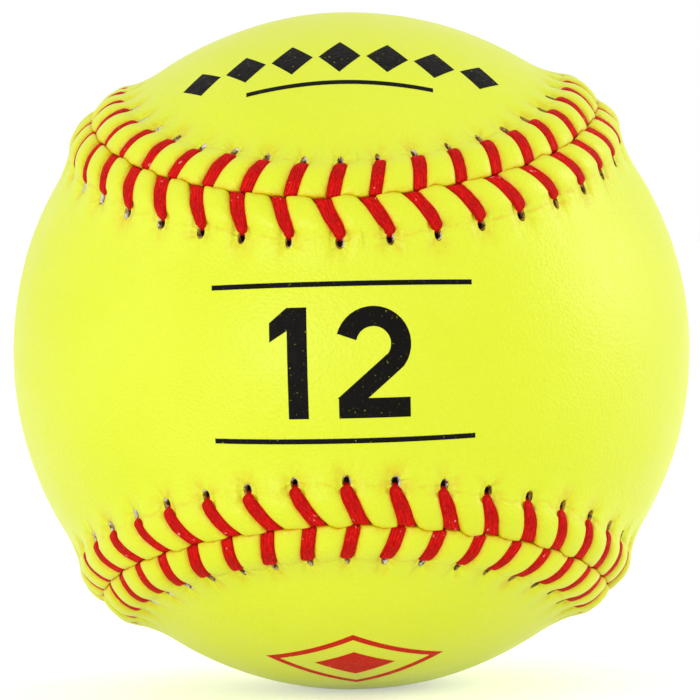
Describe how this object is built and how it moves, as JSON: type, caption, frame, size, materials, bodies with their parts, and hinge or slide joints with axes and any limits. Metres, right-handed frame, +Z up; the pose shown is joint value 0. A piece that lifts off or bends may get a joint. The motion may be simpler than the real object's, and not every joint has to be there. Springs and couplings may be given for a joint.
{
  "type": "softball",
  "caption": "Stitched leather softball: two dog-bone cover panels sewn edge to edge with red waxed thread over a cemented, moulded core.",
  "frame": {"origin": "centre of the ball", "axes": "+Z up, the front panel's waist faces -Y, the front panel's lobes lie on +X and -X"},
  "size_m": [0.0968, 0.0968, 0.0968],
  "materials": {
    "cover_leather": "satin",
    "waxed_thread": "satin",
    "core_foam": "matte",
    "cement": "matte"
  },
  "bodies": {
    "root": {"core": "core_foam", "cement_coat": "cement", "front_cover_panel": "cover_leather", "back_cover_panel": "cover_leather", "first_needle_thread": "waxed_thread", "second_needle_thread": "waxed_thread"}
  },
  "joints": []
}
